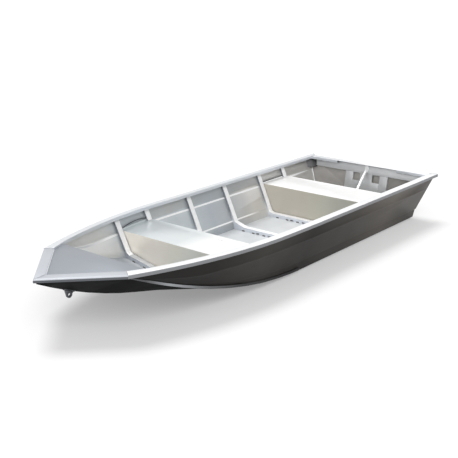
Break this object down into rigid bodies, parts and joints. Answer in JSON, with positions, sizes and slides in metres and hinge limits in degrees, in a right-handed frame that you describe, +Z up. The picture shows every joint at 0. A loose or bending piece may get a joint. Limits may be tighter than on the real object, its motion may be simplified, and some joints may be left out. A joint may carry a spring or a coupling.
{
  "type": "flat-bottomed aluminium fishing boat",
  "caption": "Open welded aluminium fishing boat with flat bottom, decked arrow-shaped bow, ribbed flared sides, two box benches and a braced motor transom.",
  "frame": {"origin": "on the centreline amidships, at the underside of the centre runner, 1.98 m ahead of the transom's foot", "axes": "+X toward the bow, +Y to port, +Z up"},
  "size_m": [4.2178, 1.482, 0.484],
  "materials": {
    "hull_sheet": "mill-finish sheet, satin",
    "side_sheet": "mill-finish sheet, smooth and darkly reflecting",
    "rim": "bright extruded rail, satin",
    "bench": "bright folded sheet, satin",
    "dark": "matt black moulded plastic",
    "steel": "bright stainless steel"
  },
  "bodies": {
    "root": {"bottom_plate": "hull_sheet", "bow_coaming_port": "hull_sheet", "bow_coaming_starboard": "hull_sheet", "bow_deck": "hull_sheet", "frame_1": "hull_sheet", "frame_2": "hull_sheet", "frame_3": "hull_sheet", "frame_4": "hull_sheet", "frame_5": "hull_sheet", "frame_6": "hull_sheet", "transom_posts": "hull_sheet", "motor_board": "hull_sheet", "runner_centre": "hull_sheet", "runner_port": "hull_sheet", "runner_starboard": "hull_sheet", "side_panel_port": "side_sheet", "side_panel_starboard": "side_sheet", "transom_plate": "side_sheet", "gunwale_port": "rim", "gunwale_starboard": "rim", "bow_rim_port": "rim", "bow_rim_starboard": "rim", "transom_cap": "rim", "chine_strip_port": "rim", "chine_strip_starboard": "rim", "transom_brace": "rim", "front_bench": "bench", "rear_bench": "bench", "stern_knee_port": "dark", "stern_knee_starboard": "dark", "clamp_pad": "dark", "bow_eye": "steel", "drain_bush": "steel"}
  },
  "joints": []
}
